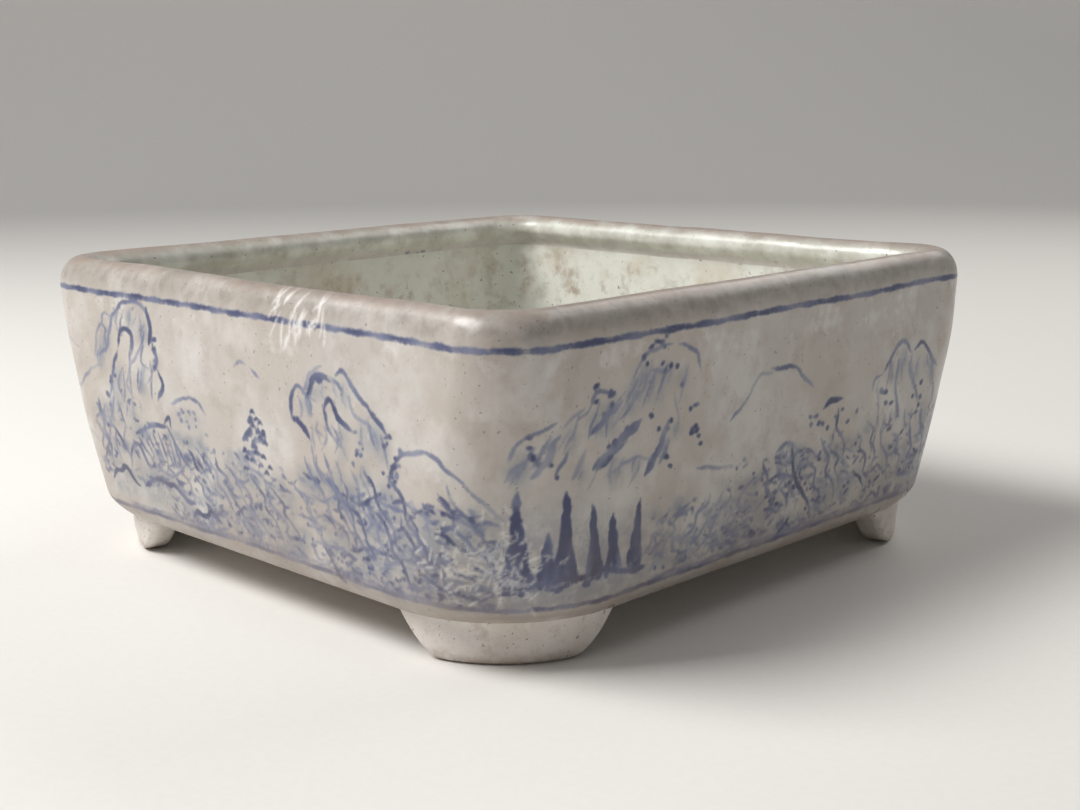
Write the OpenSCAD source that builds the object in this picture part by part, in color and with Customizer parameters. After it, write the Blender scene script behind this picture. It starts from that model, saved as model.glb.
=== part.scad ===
// Square bonsai pot with soft corners, an in-turned rim and four bracket feet.
// The clay pieces are modelled as a potter joins them before firing: a floor slab,
// four pressed wall slabs mitred at the corners, a rim coil laid on the walls and
// four feet luted under the corners. The origin is on the table, under the middle
// of the pot, with Z up and the walls facing the X and Y axes.

/* [Body] */
// Width across two facing walls, at the widest line just under the rim
pot_w = 240; // [200:1:320]
// Height from the table to the top of the rim
pot_h = 105; // [85:1:150]
// Thickness of the wall slabs
wall_t = 9; // [7:0.5:12]
// How far each wall leans in between the widest line and its foot
wall_lean = 3.5; // [1:0.5:8]
// Corner radius seen from above, at the widest line
rim_corner_r = 20; // [16:1:30]
// Corner radius seen from above, at the foot of the walls
base_corner_r = 43; // [34:1:55]
// Share of an inward step that the corner radius gives up, 1 for an even wall
corner_follow = 0.4; // [0:0.1:1]

/* [Heel] */
// How far the bottom edge of a wall turns under
heel_in = 4; // [2:0.5:6]
// Height over which it turns under
heel_h = 7; // [4:0.5:10]

/* [Rim] */
// Height of the rim coil
rim_h = 13; // [11:0.5:18]
// Drop from the top of the rim to the widest line of the pot
belly_drop = 10.5; // [7:0.5:10.5]
// Distance from the widest line in to the crest of the rim, seen from above
crest_in = 6.5; // [4:0.5:8]
// Distance from the widest line in to the inner lip, seen from above
lip_in = 13; // [12:0.5:18]
// Drop from the crest to the middle of the inner lip
lip_drop = 6; // [4:0.5:8]

/* [Floor] */
// Thickness of the floor slab
floor_t = 10; // [8:0.5:14]
// Radius of the cove between the floor and the walls
cove_r = 7; // [4:0.5:10]
// Radius of each drain hole
drain_r = 8; // [6:0.5:12]
// Distance between the drain holes, along X and along Y
drain_spacing = 100; // [60:1:120]

/* [Feet] */
// Height of the feet, which is the gap under the floor
foot_h = 14; // [10:0.5:20]
// Thickness of a foot at the table
foot_t = 9; // [7:0.5:12]
// How much thicker a foot is where it meets the floor
foot_root = 2; // [0:0.5:4]
// How far the face of a foot stands back from the bottom edge of the walls
foot_set = 1; // [0.5:0.5:4]
// How far the face of a foot leans in towards the table
foot_lean = 1.5; // [0:0.5:5]
// Length of a foot along its curve, from the corner to either end, at the floor
foot_top_l = 37; // [30:1:42]
// The same length at the table
foot_bottom_l = 19; // [14:1:26]

/* [Hidden] */

// Smoothness: steps in an eighth turn of a corner, up a wall, round a curve and along a foot
corner_n = 9;
wall_n = 8;
curve_n = 6;
foot_n = 16;
// How quickly the corners open out down the wall, and how the ends of a foot sweep up
corner_ease = 1.2;
foot_sweep = 0.5;

half_w = pot_w / 2;
belly_z = pot_h - belly_drop;
wall_top = pot_h - rim_h;
floor_top = foot_h + floor_t;
cove_z = floor_top + cove_r;
crest_half = half_w - crest_in;
lip_half = half_w - lip_in;
lip_z = pot_h - lip_drop;

glaze = [0.74, 0.72, 0.70];
inner_glaze = [0.76, 0.78, 0.75];
white_clay = [0.88, 0.86, 0.83];

function mix(a, b, t) = a + (b - a) * t;
function ease(t) = t * t * (3 - 2 * t);

// ---- The body's outline at a height, as [half width, corner radius, height] ----

// 0 at the foot of the walls, 1 at the widest line
function up_wall(z) = min(1, max(0, (z - foot_h) / (belly_z - foot_h)));
function heel(z) = heel_in * pow(1 - min(1, (z - foot_h) / heel_h), 2);
function outer_half(z) = half_w - wall_lean * pow(1 - up_wall(z), 2) - heel(z);
function outer_r(z) = mix(rim_corner_r, base_corner_r, pow(1 - up_wall(z), corner_ease));
// A ring that lies a step further in than the outside of the wall
function inset(z, step) = [outer_half(z) + heel(z) - step, outer_r(z) - corner_follow * step, z];

// ---- Points round a square of that half width and corner radius ----

function corner_sign(quarter) =
    [[1, 1], [-1, 1], [-1, -1], [1, -1]][quarter % 4];
function on_corner(ring, quarter, angle) =
    [for (k = [0, 1])
        corner_sign(quarter)[k] * (ring[0] - ring[1])
            + ring[1] * (k == 0 ? cos(angle) : sin(angle))];
// All the way round, starting at the +X wall
function around(ring) = [
    for (quarter = [0 : 3], i = [0 : 2 * corner_n])
        on_corner(ring, quarter, 90 * quarter + 45 * i / corner_n)
];
// Along the wall that faces -Y, from one diagonal seam to the next
function along_front(ring) = concat(
    [for (i = [0 : corner_n]) on_corner(ring, 2, 225 + 45 * i / corner_n)],
    [for (i = [0 : corner_n]) on_corner(ring, 3, 270 + 45 * i / corner_n)]
);

// ---- Cross-sections, as lists of [half width, corner radius, height] ----

// The outline of the floor slab, where the walls close round it
floor_ring = inset(cove_z, wall_t + cove_r);

// Outside from the bottom up, then inside from the top down to the floor slab's edge
wall_section = concat(
    [for (i = [0 : 4])
        let (z = foot_h + heel_h * i / 5) [outer_half(z), outer_r(z), z]],
    [for (i = [0 : wall_n])
        let (z = mix(foot_h + heel_h, wall_top, i / wall_n)) [outer_half(z), outer_r(z), z]],
    [for (i = [0 : wall_n - 1])
        inset(mix(wall_top, cove_z, i / wall_n), wall_t)],
    [for (i = [0 : curve_n])
        let (turn = 90 * i / curve_n, edge = inset(cove_z, wall_t + cove_r * (1 - cos(turn))))
            [edge[0], edge[1], cove_z - cove_r * sin(turn)]],
    [[floor_ring[0], floor_ring[1], foot_h]]
);

// Outside of the rim up to its crest, over the lip, and back under it to the wall
function rim_ring(half, z) = [half, rim_corner_r - corner_follow * (half_w - half), z];
rim_section = concat(
    [[outer_half(wall_top), outer_r(wall_top), wall_top]],
    [for (i = [0 : curve_n])
        let (turn = 90 * i / curve_n)
            rim_ring(crest_half + crest_in * cos(turn), belly_z + belly_drop * sin(turn))],
    [for (i = [1 : curve_n])
        let (turn = 90 * i / curve_n)
            rim_ring(crest_half - (lip_in - crest_in) * sin(turn), lip_z + lip_drop * cos(turn))],
    [for (i = [1 : curve_n - 1])
        rim_ring(mix(lip_half, inset(wall_top, wall_t)[0], ease(i / curve_n)),
            mix(lip_z, wall_top, i / curve_n))],
    [inset(wall_top, wall_t)]
);

// ---- Solids ----

// Two triangles for each cell between station s and the next, round a section of n points
function skin(stations, n, closed) = [
    for (s = [0 : stations - (closed ? 1 : 2)], k = [0 : n - 1])
        let (a = s * n + k, b = s * n + (k + 1) % n,
            c = ((s + 1) % stations) * n + k, d = ((s + 1) % stations) * n + (k + 1) % n)
            each [[a, b, c], [c, b, d]]
];

// One wall slab: the wall section carried from one diagonal to the next
module wall_slab() {
    n = len(wall_section);
    rows = [for (ring = wall_section) along_front(ring)];
    stations = len(rows[0]);
    polyhedron(
        points = [for (s = [0 : stations - 1], k = [0 : n - 1])
            [rows[k][s][0], rows[k][s][1], wall_section[k][2]]],
        faces = concat(
            skin(stations, n, false),
            [[for (k = [n - 1 : -1 : 0]) k]],
            [[for (k = [0 : n - 1]) (stations - 1) * n + k]]
        ),
        convexity = 6
    );
}

// The rim coil: the rim section carried all the way round
module rim_coil() {
    n = len(rim_section);
    rows = [for (ring = rim_section) around(ring)];
    stations = len(rows[0]);
    color(glaze)
        polyhedron(
            points = [for (s = [0 : stations - 1], k = [0 : n - 1])
                [rows[k][s][0], rows[k][s][1], rim_section[k][2]]],
            faces = skin(stations, n, true),
            convexity = 6
        );
}

// The floor slab, let in between the feet of the walls, with its drain holes
module floor_slab() {
    color(inner_glaze)
        difference() {
            translate([0, 0, foot_h])
                linear_extrude(floor_t)
                    polygon(around(floor_ring));
            for (x = [-1, 1], y = [-1, 1])
                translate([x, y, 0] * drain_spacing / 2)
                    cylinder(r = drain_r, h = floor_top + 1, $fn = 48);
        }
}

// A point on the face of the foot under the +X, +Y corner. Length runs round the
// corner from the diagonal, and back is the distance in from the outermost face.
foot_half = outer_half(foot_h) - foot_set;
eighth = base_corner_r * PI / 4;
function foot_point(length, back) =
    let (turn = sign(length) * min(abs(length), eighth) / base_corner_r * 180 / PI,
        straight = sign(length) * max(0, abs(length) - eighth),
        angle = 45 + turn,
        centre = foot_half - base_corner_r)
        [centre + (base_corner_r - back) * cos(angle) - straight * sin(angle),
         centre + (base_corner_r - back) * sin(angle) + straight * cos(angle)];
function foot_length(z) = mix(foot_bottom_l, foot_top_l, pow(z / foot_h, foot_sweep));

// One foot: a strip of clay bent round the corner, its ends swept up to the floor
module foot() {
    levels = [for (i = [0 : curve_n]) foot_h * i / curve_n];
    n = 2 * (curve_n + 1);
    // The section at a station: up the face, then down the back
    function height(k) = levels[k <= curve_n ? k : n - 1 - k];
    function back(k) = k <= curve_n
        ? foot_lean * (1 - height(k) / foot_h)
        : foot_t + foot_lean + foot_root * height(k) / foot_h;
    points = [for (s = [0 : foot_n], k = [0 : n - 1])
        let (p = foot_point(mix(-1, 1, s / foot_n) * foot_length(height(k)), back(k)))
            [p[0], p[1], height(k)]];
    last = foot_n * n;
    ends = [for (k = [0 : curve_n - 1])
        let (a = k, b = k + 1, c = n - 1 - k, d = n - 2 - k)
            each [[a, c, b], [b, c, d], [last + a, last + b, last + c], [last + b, last + d, last + c]]];
    color(white_clay)
        polyhedron(points = points, faces = concat(skin(foot_n + 1, n, false), ends), convexity = 4);
}

module wall(quarter) {
    color(glaze)
        rotate(90 * quarter)
            wall_slab();
}

floor_slab();
wall(0);  // wall_front
wall(1);  // wall_right
wall(2);  // wall_back
wall(3);  // wall_left
rim_coil();
rotate(-90) foot();  // foot_front_right
foot();  // foot_back_right
rotate(90) foot();  // foot_back_left
rotate(180) foot();  // foot_front_left
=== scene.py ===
"""A hand-made square bonsai pot: pressed clay walls, a rolled rim and four bracket feet, under a
satin glaze over cobalt brushwork. Lengths are in millimetres until a mesh is made."""

from math import cos, pi, radians, sin, sqrt

import bpy
import numpy as np
from mathutils import Matrix, Vector


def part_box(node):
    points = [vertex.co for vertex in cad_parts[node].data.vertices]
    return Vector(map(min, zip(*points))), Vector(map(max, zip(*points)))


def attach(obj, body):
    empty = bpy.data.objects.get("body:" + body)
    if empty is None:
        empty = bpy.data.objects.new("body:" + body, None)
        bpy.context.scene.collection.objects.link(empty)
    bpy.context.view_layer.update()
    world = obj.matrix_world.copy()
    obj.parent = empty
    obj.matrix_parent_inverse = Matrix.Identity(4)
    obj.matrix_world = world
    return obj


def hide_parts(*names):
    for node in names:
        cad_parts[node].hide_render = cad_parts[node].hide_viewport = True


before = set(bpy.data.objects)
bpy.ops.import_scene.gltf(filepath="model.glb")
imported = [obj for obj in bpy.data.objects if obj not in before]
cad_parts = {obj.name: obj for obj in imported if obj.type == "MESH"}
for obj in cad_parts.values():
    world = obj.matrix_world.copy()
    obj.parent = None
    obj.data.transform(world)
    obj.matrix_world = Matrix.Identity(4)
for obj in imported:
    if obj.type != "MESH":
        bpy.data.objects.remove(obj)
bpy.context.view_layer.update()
MM = 0.001


# ---- The glaze ----
# A thin feldspar glaze poured over the cobalt and fired to a satin: greyish white outside, and
# greener inside. Use has left a pale bloom and soil stains within. Low down outside it is painted
# darker and browner, and the heel carries painted shade with a painted warm reflection.


def linear(code):
    """The linear values that a shader takes, from a colour in sRGB hex."""
    srgb = np.array([int(code[i:i + 2], 16) for i in (1, 3, 5)]) / 255
    return (*np.where(srgb <= 0.04045, srgb / 12.92, ((srgb + 0.055) / 1.055) ** 2.4), 1)


def feed(tree, node, inputs):
    """Fills the inputs of a node: each takes a value, or another node's output."""
    for name, value in inputs.items():
        if isinstance(value, bpy.types.NodeSocket):
            tree.links.new(value, node.inputs[name])
        else:
            node.inputs[name].default_value = value


def add(tree, kind, inputs, **settings):
    """Adds a shader node with its inputs and settings."""
    node = tree.nodes.new("ShaderNode" + kind)
    for name, value in settings.items():
        setattr(node, name, value)
    feed(tree, node, inputs)
    return node


def new_material(name):
    """A new material, its node tree and its shader."""
    material = bpy.data.materials.new(name)
    material.use_nodes = True
    return material, material.node_tree, material.node_tree.nodes["Principled BSDF"]


def patches(tree, size, low, high, detail=3.0, shift=0.0):
    """Soft patches of about that size in mm: fractal noise that counts as 0 under low and as 1 over
    high. shift moves to another part of the noise, so that two kinds of patches don't coincide."""
    place = add(tree, "Mapping", {"Vector": add(tree, "TexCoord", {}).outputs["Object"],
                                  "Location": (shift,) * 3, "Scale": (1000 / size,) * 3})
    noise = add(tree, "TexNoise", {"Vector": place.outputs[0], "Scale": 1.0, "Detail": detail,
                                   "Roughness": 0.6})
    return add(tree, "MapRange", {0: noise.outputs[0], "From Min": low, "From Max": high},
               interpolation_type="SMOOTHSTEP").outputs[0]


def by_height(tree, start, stop):
    """A share that goes smoothly from 0 at the height start, in mm, to 1 at the height stop."""
    parts = add(tree, "SeparateXYZ", {0: add(tree, "TexCoord", {}).outputs["Object"]})
    return add(tree, "MapRange", {0: parts.outputs["Z"], "From Min": start * MM, "From Max": stop * MM},
               interpolation_type="SMOOTHSTEP").outputs[0]


def coats(tree, colour, *layers):
    """A colour with others laid over it in turn. Each layer is its colour, how much of it shows at
    the most, and the shares that are multiplied by that."""
    colour, *overs = (linear(coat) if isinstance(coat, str) else coat
                      for coat in (colour, *(layer[0] for layer in layers)))
    for over, (_, share, *others) in zip(overs, layers):
        for other in others:
            share = add(tree, "Math", {0: other, 1: share}, operation="MULTIPLY").outputs[0]
        # the colours of a Mix node are its inputs 6 and 7 and its output 2
        colour = add(tree, "Mix", {0: share, 6: colour, 7: over}, data_type="RGBA").outputs[2]
    return colour


glaze, tree, shader = new_material("satin_glaze_over_cobalt")
inside = add(tree, "Attribute", {}, attribute_name="inside").outputs["Fac"]
brushwork = add(tree, "Attribute", {}, attribute_name="brushwork")
ink, load, damp = add(tree, "SeparateColor", {0: brushwork.outputs["Color"]}).outputs
scuffed = brushwork.outputs["Alpha"]

# Cobalt breaks up into grains as it sinks into the glaze. A dry brush leaves it grey-blue, and a
# loaded one nearly black. Pools of thinned colour are paler and settle in patches.
grained = add(tree, "Math", {0: patches(tree, 1.6, 0.3, 0.7), 1: -0.18, 2: ink},
              operation="MULTIPLY_ADD").outputs[0]
drawn, dry, full = (add(tree, "MapRange", {0: value, "From Min": start, "From Max": stop},
                        interpolation_type="SMOOTHSTEP").outputs[0]
                    for value, start, stop in ((grained, 0.12, 0.8), (load, -0.2, 0.7), (load, 0.3, 1.0)))

# Outside it is mottled by the thickness of the glaze, and greyer on the rim, with a pale bloom
# under it. Over the brushwork it grows darker and browner towards the bottom, and painted shade
# with a painted warm reflection lies on the heel and the band round the lines above it. The
# smallest specks are iron in the clay, and scuffs are white.
outside_colour = coats(
    tree, "#c1bbb5",
    ("#b4a89d", 0.55, patches(tree, 60, 0.38, 0.66)),
    ("#d4d1cd", 0.65, patches(tree, 22, 0.42, 0.68, 4, 3.1)),
    ("#a3978c", 0.4, patches(tree, 9, 0.48, 0.72, 5, 5.2)),
    ("#958f87", 0.5, by_height(tree, 94, 101), patches(tree, 18, 0.2, 0.55, 4, 8.8)),
    ("#6f6961", 0.3, by_height(tree, 94, 101), patches(tree, 5, 0.42, 0.66, 4, 5.7)),
    ("#dcdad7", 0.6, by_height(tree, 80, 87), by_height(tree, 96, 92),
     patches(tree, 13, 0.52, 0.68, 4, 4.7)),
    ("#868b95", 0.85, damp, patches(tree, 5, 0.2, 0.6)),
    ("#68759a", 0.85, drawn, dry),
    ("#2b3560", 0.95, drawn, full),
    # darker and browner towards the bottom, in broad patches
    ("#8c7b6c", 0.3, by_height(tree, 62, 20), patches(tree, 34, 0.3, 0.62, 4, 6.9)),
    # painted shade and a painted warm reflection on the heel and the band round the lines above it
    ("#7d6a5c", 0.45, by_height(tree, 27, 15), patches(tree, 9, 0.15, 0.55, 4, 7.7)),
    ("#6d6056", 0.5, patches(tree, 1.5, 0.70, 0.76, 1, 2.3)),
    ("#efedea", 0.85, scuffed, patches(tree, 1.2, 0.2, 0.5)))

# Inside, the soil has left tan and brown stains, densest low down, and towards the top, by the lip, it is
# greyer in patches
inside_colour = coats(
    tree, "#dfe0d7",
    ("#b2916a", 0.6, by_height(tree, 106, 70), patches(tree, 30, 0.46, 0.66, 5, 1.7)),
    ("#87694a", 0.75, by_height(tree, 106, 70), patches(tree, 12, 0.52, 0.7, 5, 4.4)),
    ("#e6e9e3", 0.7, patches(tree, 26, 0.42, 0.7, 5, 9.3)),
    # greyer in patches towards the top of the inside, under and on the lip
    ("#8f8778", 0.4, by_height(tree, 88, 99), patches(tree, 14, 0.34, 0.6, 5, 3.3)),
    ("#968f80", 0.35, patches(tree, 9, 0.5, 0.7, 5, 6.1)),
    ("#5a5046", 0.7, patches(tree, 2.4, 0.69, 0.73, 2, 8.3)))

# The crest of the rim is rubbed by hands and tools until the clay shows through
colour = coats(tree, outside_colour, (inside_colour, 1, inside),
               ("#a08c7f", 0.6, by_height(tree, 101.5, 104.2), patches(tree, 11, 0.3, 0.62, 5, 2.9)))

# A satin: the gloss of glass where it is thick, duller in patches and where it is scuffed
dulled = add(tree, "Math", {0: patches(tree, 25, 0.3, 0.7, 5, 1.1), 1: 0.2, 2: 0.26},
             operation="MULTIPLY_ADD")
rubbed = add(tree, "Math", {0: scuffed, 1: 0.25, 2: dulled.outputs[0]}, operation="MULTIPLY_ADD")

# Orange peel: the glaze ran a little before it froze, and the finest bubbles left their marks
bubbles, runs = patches(tree, 1.3, 0.2, 0.8, 2, 6.6), patches(tree, 7, 0.2, 0.8, 2, 3.7)
peel = add(tree, "Math", {0: bubbles, 1: 0.12, 2: runs}, operation="MULTIPLY_ADD")
bump = add(tree, "Bump", {"Strength": 0.5, "Distance": 0.25 * MM, "Height": peel.outputs[0]})
feed(tree, shader, {"Base Color": colour, "Roughness": rubbed.outputs[0], "IOR": 1.5,
                    "Coat Weight": 0.25, "Coat Roughness": 0.25, "Normal": bump.outputs[0]})


# ---- The clay ----
# Pale stoneware, wiped clean of glaze on the feet and under the floor, so that they don't stick
# in the kiln. It has a sponged sheen, with grit, pinholes and the grey-brown of handling.

bare_clay, tree, shader = new_material("unglazed_stoneware")
colour = coats(
    tree, "#dfd9d3",
    ("#c3b4a7", 0.5, patches(tree, 24, 0.38, 0.66, 4, 2.2)),
    ("#a08c7b", 0.4, patches(tree, 5, 0.5, 0.75, 4, 4.9)),
    ("#8a7564", 0.6, by_height(tree, 5, 0), patches(tree, 4, 0.2, 0.6)),
    ("#5f5147", 0.7, patches(tree, 1.3, 0.68, 0.75, 1, 7.1)))
sponge, pinholes = patches(tree, 4, 0.2, 0.8, 4, 1.9), patches(tree, 1.0, 0.6, 0.75, 1, 5.5)
sponged = add(tree, "Math", {0: sponge, 1: pinholes}, operation="SUBTRACT")
bump = add(tree, "Bump", {"Strength": 0.5, "Distance": 0.3 * MM, "Height": sponged.outputs[0]})
feed(tree, shader, {"Base Color": colour, "Roughness": 0.38, "IOR": 1.5, "Coat Weight": 0.2,
                    "Coat Roughness": 0.2, "Normal": bump.outputs[0]})


# ---- The floor ----
# A slab of clay rolled flat and let in between the walls, about 10 mm thick. Four drain holes
# are cut through it with a tube while the clay is soft, and their edges are wiped round.

pot_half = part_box("rim_coil")[1][0] / MM
pot_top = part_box("rim_coil")[1][2] / MM
wall_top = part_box("rim_coil")[0][2] / MM
under_floor, floor_top = (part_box("floor_slab")[i][2] / MM for i in (0, 1))
belly_drop = 10.5
belly_z = pot_top - belly_drop
wall_thick, wall_lean, heel_in, heel_high, cove = 9.0, 3.5, 4.0, 7.0, 7.0
belly_corner, base_corner, corner_follow = 20.0, 43.0, 0.4
cove_z = floor_top + cove


def climb(z):
    """How far up the wall a height is: 0 where the walls start, 1 at the widest line."""
    return np.clip((z - under_floor) / (belly_z - under_floor), 0, 1)


def wall_outline(z, inwards=0.0, heeled=True):
    """Half width and corner radius of the body at a height: the wall leans in and its corners
    open out going down, and the heel turns under by a parabola. inwards is a step to the inside."""
    heel = heel_in * (1 - np.clip((z - under_floor) / heel_high, 0, 1)) ** 2 * heeled
    half = pot_half - wall_lean * (1 - climb(z)) ** 2 - heel - inwards
    corner = belly_corner + (base_corner - belly_corner) * (1 - climb(z)) ** 1.2
    return half, corner - corner_follow * inwards


def round_square(half, corner, way):
    """Points and outward directions on a square with round corners. way counts walls: 0 is the
    middle of the front wall, 0.5 the front right diagonal, 1 the middle of the right wall."""
    wall = np.floor(way + 0.5)
    straight = half - corner
    along = 2 * (way - wall) * (straight + corner * pi / 4)
    turn = np.sign(along) * np.maximum(np.abs(along) - straight, 0) / corner
    x = np.clip(along, -straight, straight) + corner * np.sin(turn)
    y = -straight - corner * np.cos(turn)
    c, s = np.cos(wall * pi / 2), np.sin(wall * pi / 2)
    points = np.stack([c * x - s * y, s * x + c * y], -1)
    outward = np.stack([c * np.sin(turn) + s * np.cos(turn), s * np.sin(turn) - c * np.cos(turn)], -1)
    return points, outward


def waves(points, length, seed, count=9):
    """Slow unevenness of about -1 to 1: a sum of sine waves of roughly that length in mm, each
    with a seeded direction and phase."""
    rng = np.random.default_rng(seed)
    way = rng.normal(size=(count, 3))
    way *= (2 * pi / length * rng.uniform(0.6, 1.4, count) / np.linalg.norm(way, axis=1))[:, None]
    return np.sin(points @ way.T + rng.uniform(0, 2 * pi, count)).sum(-1) / sqrt(count)


def cells(rows, columns, loop_rows=False, loop_columns=False):
    """Corner numbers of the quads of a grid of points, row by row, with its ends joined if asked."""
    r = np.arange(rows if loop_rows else rows - 1)[:, None]
    c = np.arange(columns if loop_columns else columns - 1)[None]
    next_r, next_c = (r + 1) % rows, (c + 1) % columns
    return np.stack([r * columns + c, r * columns + next_c, next_r * columns + next_c,
                     next_r * columns + c], -1).reshape(-1, 4)


def new_object(name, points, faces, materials):
    """An object with a smooth mesh from whole arrays: points in mm, and faces as corner numbers."""
    mesh = bpy.data.meshes.new(name)
    mesh.from_pydata((points.reshape(-1, 3) * MM).tolist(), [], faces)
    mesh.polygons.foreach_set("use_smooth", np.ones(len(mesh.polygons), bool))
    for material in materials:
        mesh.materials.append(material)
    shaped = bpy.data.objects.new(name, mesh)
    bpy.context.scene.collection.objects.link(shaped)
    return shaped


def make_piece(name, node, points, faces, materials, second=None, uv=None, sides=()):
    """A closed piece of the pot, smooth except at its cut edges. sides are faces of many corners that
    close its ends. second says which of the other faces take the second material, as the sides do,
    and uv is a flat map with a place for each of their corners."""
    piece = new_object(name, points, faces.tolist() + list(sides), materials)
    piece.data.set_sharp_from_angle(angle=radians(50))
    if second is not None:
        which = np.append(second, np.ones(len(sides))).astype(np.int32)
        piece.data.polygons.foreach_set("material_index", which)
    if uv is not None:
        # the sides are hidden in the joints, so they share one spot in a corner of the map
        hidden = np.full((len(piece.data.loops) - len(uv), 2), 0.999)
        flat_map = piece.data.uv_layers.new(name="OFBake")
        flat_map.uv.foreach_set("vector", np.concatenate([uv, hidden]).ravel())
    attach(piece, "root")
    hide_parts(node)
    return piece


def write_values(piece, name, values):
    """Stores one number, or a colour of four, for each point of the mesh."""
    kind = "FLOAT" if values.ndim == 1 else "FLOAT_COLOR"
    key = "value" if values.ndim == 1 else "color"
    stored = piece.data.attributes.new(name, kind, "POINT")
    stored.data.foreach_set(key, values.astype(np.float32).ravel())


hole_r, hole_x, hole_wipe = 8.0, 50.0, 1.6
floor_half, floor_corner = wall_outline(cove_z, wall_thick + cove, heeled=False)

# One quarter of the slab, as rings round its hole. Each ring lies between the hole and the
# quarter's edge, which runs out along X, round the slab's corner and back in along Y.
middle_line = np.linspace(0, floor_half, 26)[:-1]
corner_line = round_square(floor_half, floor_corner, np.linspace(1, 2, 121))[0][:-1]
edge = np.concatenate([np.outer(middle_line, (1, 0)), corner_line,
                       np.outer(floor_half - middle_line, (0, 1))])
from_hole = (edge - hole_x) / np.linalg.norm(edge - hole_x, axis=1)[:, None]
spread = np.linspace(1, 0, 12)[:-1] ** 1.5
wipe = np.linspace(0, pi / 2, 7)
# each ring's share of the way out to the edge, the hole's radius there, and its height
share = np.concatenate([spread, 0 * wipe, 0 * wipe, spread[::-1]])
radius = hole_r + hole_wipe * np.concatenate([spread * 0 + 1, 1 - np.sin(wipe), 1 - np.cos(wipe),
                                              spread * 0 + 1])
height = np.concatenate([spread * 0 + under_floor, under_floor + hole_wipe * (1 - np.cos(wipe)),
                         floor_top - hole_wipe * (1 - np.sin(wipe)), spread * 0 + floor_top])
share, radius = share[:, None, None], radius[:, None, None]
flat = (hole_x + from_hole * radius) * (1 - share) + edge * share
quarter = np.concatenate([flat, np.broadcast_to(height[:, None, None], flat.shape[:2] + (1,))], -1)
rings, steps = quarter.shape[:2]
faces = cells(rings, steps, loop_columns=True)
on_corner = np.arange(len(middle_line), len(middle_line) + len(corner_line))
low, high = on_corner, on_corner + (rings - 1) * steps
edge_faces = np.stack([low, high, high + 1, low + 1], -1)
faces = np.concatenate([faces, edge_faces])

# The four quarters, with the points that they share made one
signs = np.array([(1, 1, 1), (-1, 1, 1), (-1, -1, 1), (1, -1, 1)])
points = np.concatenate([quarter.reshape(-1, 3) * s for s in signs])
all_faces = np.concatenate([(faces[:, ::-1] if s[0] * s[1] > 0 else faces) + i * rings * steps
                            for i, s in enumerate(signs)])
_, first, same = np.unique(np.round(points, 4) + 0.0, axis=0, return_index=True, return_inverse=True)
points, all_faces = points[first], same.ravel()[all_faces]
# The rolling pin left the top uneven by about 0.3 mm, dying away over the last 25 mm to its edges
inland = np.clip((floor_half - np.abs(points[:, :2]).max(-1)) / 25, 0, 1)
points[:, 2] += 0.3 * waves(points, 60, 11) * inland * (points[:, 2] > floor_top - 0.01)
underside = points[all_faces][..., 2].max(1) < under_floor + 0.01
floor = make_piece("pot_floor", "floor_slab", points, all_faces, (glaze, bare_clay),
                   second=underside)
write_values(floor, "inside", np.ones(len(points)))
write_values(floor, "brushwork", np.zeros((len(points), 4)))


# ---- The brushwork ----
# A landscape brushed in cobalt on the raw glaze: peaks and pines above a misty bank, between two
# lines that run all round. It is drawn flat, x round the pot and z up, and then laid on the body.

# Each wall has 228 mm of the drawing, between its length round the belly and round the heel. The
# middle of the front wall is at x 0, so the front right corner is at 114.
drawn_wall = 228.0
hand = np.random.default_rng(20)
ink_marks, scuff_marks, damp_patches = [], [], []


def stroke(points, width=1.4, load=0.7, end=0.35, shake=0.2, on=ink_marks):
    """A brush line through the points, in mm: a Catmull-Rom curve, sampled every 0.35 mm as x, z,
    half width and load. It swells and thins by slow sines, tapers to the share end over its first
    and last 3 mm, trembles by the length shake, and its colour slowly runs out."""
    points = np.asarray(points, float)
    ends = 2 * points[[0, -1]] - points[[1, -2]]
    knots = np.concatenate([ends[:1], points, ends[1:]])
    a, b, c, d = knots[:-3], knots[1:-2], knots[2:-1], knots[3:]
    t = np.linspace(0, 1, 13)[:, None, None]
    curve = 0.5 * (2 * b + (c - a) * t + (2 * a - 5 * b + 4 * c - d) * t ** 2
                   + (3 * b - a - 3 * c + d) * t ** 3)
    curve = curve.transpose(1, 0, 2).reshape(-1, 2)
    gone = np.append(0, np.cumsum(np.hypot(*np.diff(curve, axis=0).T)))
    at = np.linspace(0, gone[-1], max(int(gone[-1] / 0.35), 3))
    wave = np.array([[19], [5.5], [28], [11], [9]]) * hand.uniform(0.6, 1.4, (5, 1))
    swell, quick_swell, fade, dx, dz = np.sin(at / wave * 2 * pi + hand.uniform(0, 2 * pi, (5, 1)))
    taper = end + (1 - end) * np.clip(np.minimum(at, gone[-1] - at) / min(3, gone[-1] / 2 + 0.01), 0, 1)
    x, z = (np.interp(at, gone, curve[:, k]) for k in (0, 1))
    half = (0.1 + width / 2) * taper * (1 + 0.15 * swell + 0.06 * quick_swell)
    left = load * (1 + 0.25 * fade) * (1 - 0.2 * at / gone[-1])
    on.append(np.stack([x + shake * dx, z + shake * dz, half, left], -1))


def lines(place, *strokes):
    """Draws strokes of (width, load, points ...) at a place of (x, z, across, up): the points are in mm
    from there, times across and up, and a little of the hand's own freedom."""
    x, z, across, up = place
    for width, load, *points in strokes:
        free = hand.normal(0, 0.45, (len(points), 2))
        stroke((x, z) + np.array(points) * (across, up) + free, width, load)


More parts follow.
